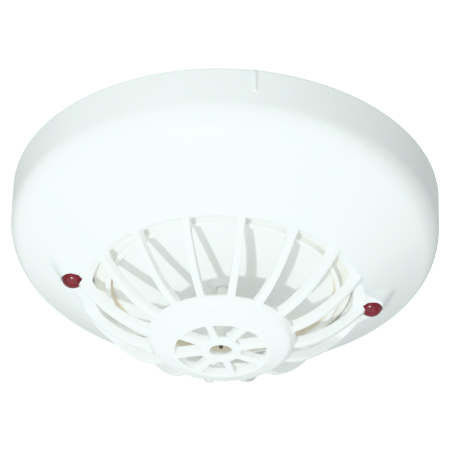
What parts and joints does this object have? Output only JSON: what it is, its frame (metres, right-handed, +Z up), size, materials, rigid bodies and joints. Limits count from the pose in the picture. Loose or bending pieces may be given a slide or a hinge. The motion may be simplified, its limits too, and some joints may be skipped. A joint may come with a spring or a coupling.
{
  "type": "heat detector",
  "caption": "Round ceiling heat detector: domed white cover, open ribbed cage round a central thermistor, red indicator lamps and a twist-off bayonet base.",
  "frame": {"origin": "centre of the base's ceiling face, on the detector's axis", "axes": "+Z up into the ceiling, along the detector's axis; +X through the two indicator lamps; the alignment mark faces -Y"},
  "size_m": [0.1, 0.1003, 0.0428],
  "materials": {
    "shell_plastic": "satin moulded plastic, near white",
    "inner_plastic": "matt moulded plastic, near white",
    "chassis_plastic": "matt moulded plastic, off white",
    "lamp_red": "tinted clear epoxy, glossy",
    "board_laminate": "solder resist over glass laminate",
    "component_black": "matt moulding compound",
    "contact_brass": "rolled brass strip",
    "fixing_steel": "zinc plated",
    "sleeve_plastic": "matt insulating sleeve",
    "bead_coating": "dark epoxy coating",
    "lead_wire": "tinned wire"
  },
  "bodies": {
    "base": {"mounting_base": "chassis_plastic", "terminal_contact_1": "contact_brass", "clamp_plate_1": "fixing_steel", "terminal_screw_1": "fixing_steel", "terminal_contact_2": "contact_brass", "clamp_plate_2": "fixing_steel", "terminal_screw_2": "fixing_steel", "terminal_contact_3": "contact_brass", "clamp_plate_3": "fixing_steel", "terminal_screw_3": "fixing_steel", "terminal_contact_4": "contact_brass", "clamp_plate_4": "fixing_steel", "terminal_screw_4": "fixing_steel"},
    "head": {"outer_cover": "shell_plastic", "sensor_guard": "shell_plastic", "floor_plate": "inner_plastic", "head_chassis": "chassis_plastic", "circuit_board": "board_laminate", "thermistor_sleeve": "sleeve_plastic", "thermistor_bead": "bead_coating", "thermistor_lead": "lead_wire", "smoothing_capacitor": "component_black", "control_chip": "component_black", "comparator_chip": "component_black", "bridge_rectifier": "component_black", "indicator_lamp_left": "lamp_red", "indicator_lamp_right": "lamp_red", "lamp_lead_left_a": "lead_wire", "lamp_lead_left_b": "lead_wire", "lamp_lead_right_a": "lead_wire", "lamp_lead_right_b": "lead_wire", "contact_blade_1": "contact_brass", "contact_blade_2": "contact_brass", "contact_blade_3": "contact_brass", "contact_blade_4": "contact_brass", "chassis_screw_1": "fixing_steel", "chassis_screw_2": "fixing_steel", "chassis_screw_3": "fixing_steel"}
  },
  "joints": [
    {"name": "head_twist", "type": "hinge", "parent": "base", "child": "head", "pos_m": [0, 0, 0], "axis": [0, 0, -1], "range_deg": [0, 20]}
  ]
}
